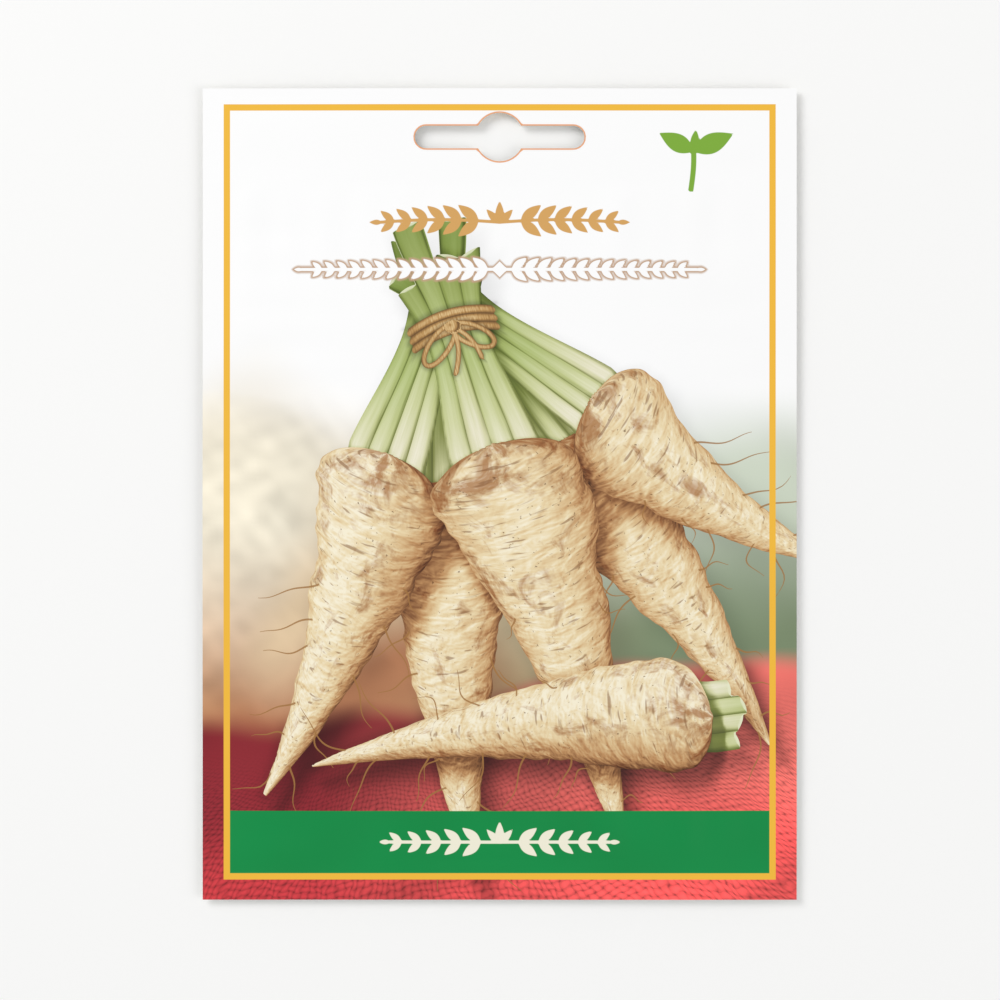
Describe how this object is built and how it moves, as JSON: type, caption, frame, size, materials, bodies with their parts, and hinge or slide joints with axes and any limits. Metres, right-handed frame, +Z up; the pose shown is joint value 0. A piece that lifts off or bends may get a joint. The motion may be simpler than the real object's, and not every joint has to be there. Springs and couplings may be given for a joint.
{
  "type": "seed packet",
  "caption": "Flat heat-sealed paper seed packet lying on its back, with a printed front, a hang slot in its header and loose seeds inside.",
  "frame": {"origin": "on the surface that the packet lies on, under the middle of its outline", "axes": "+Z up, out of the printed front; +Y towards the header and its hang slot; +X to the right of the printed front"},
  "size_m": [0.112, 0.153, 0.0043],
  "materials": {
    "printed_front": "coated paper laminate, printed in colour, satin gloss",
    "printed_back": "coated paper laminate, printed in light tints, satin gloss",
    "dry_seed": "dry ribbed seed coat, matt"
  },
  "bodies": {
    "root": {"front_web": "printed_front", "back_web": "printed_back", "seeds": "dry_seed"}
  },
  "joints": []
}
